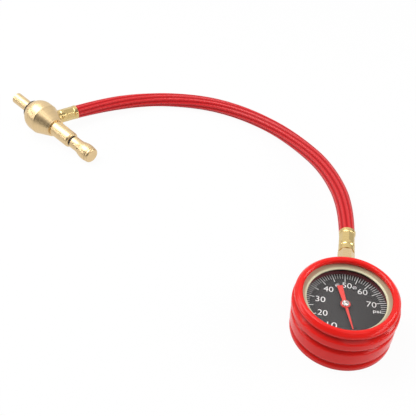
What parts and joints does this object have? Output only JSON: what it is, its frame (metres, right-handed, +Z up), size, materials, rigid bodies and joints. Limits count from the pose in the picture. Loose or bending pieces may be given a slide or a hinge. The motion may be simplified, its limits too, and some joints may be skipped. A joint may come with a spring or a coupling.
{
  "type": "tire deflator with gauge",
  "caption": "Dial gauge in a ribbed rubber boot, joined by a braided hose to a slide-valve head that screws onto a tyre valve, pulls its core and lets the air out.",
  "frame": {"origin": "on the dial gauge's axis, at the flat back that the gauge rests on", "axes": "+Z up out of the dial, +Y along the gauge's stem towards the hose, +X to the right of the dial with the stem at the top"},
  "size_m": [0.3531, 0.2894, 0.0388],
  "materials": {
    "boot_rubber": "glossy",
    "case_steel": "satin",
    "bezel_brass": "satin",
    "lens_glass": "polished",
    "black_rubber": "matte",
    "dial_paint": "matte",
    "screw_steel": "satin",
    "brass": "satin",
    "bronze": "satin",
    "pointer_paint": "matte",
    "cap_aluminium": "polished",
    "hose_red": "braided",
    "clip_black": "satin",
    "spacer_black": "matte"
  },
  "bodies": {
    "gauge": {"rubber_boot": "boot_rubber", "gauge_case": "case_steel", "bezel_ring": "bezel_brass", "lens": "lens_glass", "lens_gasket": "black_rubber", "dial_spacer": "spacer_black", "dial_plate": "dial_paint", "dial_screws": "screw_steel", "stem_socket": "brass", "case_screws": "screw_steel", "bourdon_tube": "bronze", "tube_tip": "brass", "movement_back_plate": "brass", "movement_front_plate": "brass", "movement_pillars": "brass", "movement_screws": "screw_steel", "hairspring": "bronze", "hairspring_stud": "brass", "stem_nut": "brass", "gauge_hose_insert": "brass", "gauge_ferrule": "brass", "head_hose_insert": "brass", "head_ferrule": "brass", "hose": "hose_red", "valve_housing": "brass", "front_o_ring": "black_rubber", "rear_o_ring": "black_rubber"},
    "clip": {"retaining_clip": "clip_black"},
    "core_tube": {"core_tube": "brass", "chuck_seal": "black_rubber", "tube_end_cap": "brass"},
    "bumper": {"bumper_ring": "black_rubber"},
    "plunger": {"plunger_rod": "brass", "core_gripper": "brass", "plunger_o_ring": "black_rubber", "plunger_knob": "brass", "knob_pin": "screw_steel"},
    "sector": {"sector_gear": "brass", "sector_arbor": "screw_steel"},
    "pointer": {"pointer": "pointer_paint", "pointer_cap": "cap_aluminium", "pinion_spindle": "screw_steel"},
    "link": {"link": "brass", "link_pins": "screw_steel"}
  },
  "joints": [
    {"name": "sector_swing", "type": "hinge", "parent": "gauge", "child": "sector", "pos_m": [0, -0.01378, 0.0175], "axis": [0, 0, 1], "range_deg": [0, 29], "stiffness_Nm_per_rad": 0.004, "springref_deg": -2.86},
    {"name": "pointer_turn", "type": "hinge", "parent": "gauge", "child": "pointer", "pos_m": [0, 0, 0.017], "axis": [0, 0, 1], "range_deg": [-290, 0]},
    {"name": "link_turn", "type": "hinge", "parent": "sector", "child": "link", "pos_m": [0.0014, -0.01961, 0.0184], "axis": [0, 0, 1], "range_deg": [-29, 0]},
    {"name": "valve_slide", "type": "slide", "parent": "gauge", "child": "clip", "axis": [-0.842, 0.5261, 0.1191], "range_m": [0, 0.01]},
    {"name": "tube_swivel", "type": "hinge", "parent": "clip", "child": "core_tube", "pos_m": [-0.2829, 0.1809, 0.01501], "axis": [0.842, -0.5261, -0.1191], "continuous": true},
    {"name": "plunger_pull", "type": "slide", "parent": "core_tube", "child": "bumper", "axis": [0.842, -0.5261, -0.1191], "range_m": [0, 0.026]},
    {"name": "plunger_turn", "type": "hinge", "parent": "bumper", "child": "plunger", "pos_m": [-0.2408, 0.15459, 0.00905], "axis": [0.842, -0.5261, -0.1191], "continuous": true}
  ],
  "couplings": [
    {"joint": "pointer_turn", "follows": "sector_swing", "ratio": -10},
    {"joint": "link_turn", "follows": "sector_swing", "ratio": -1}
  ]
}
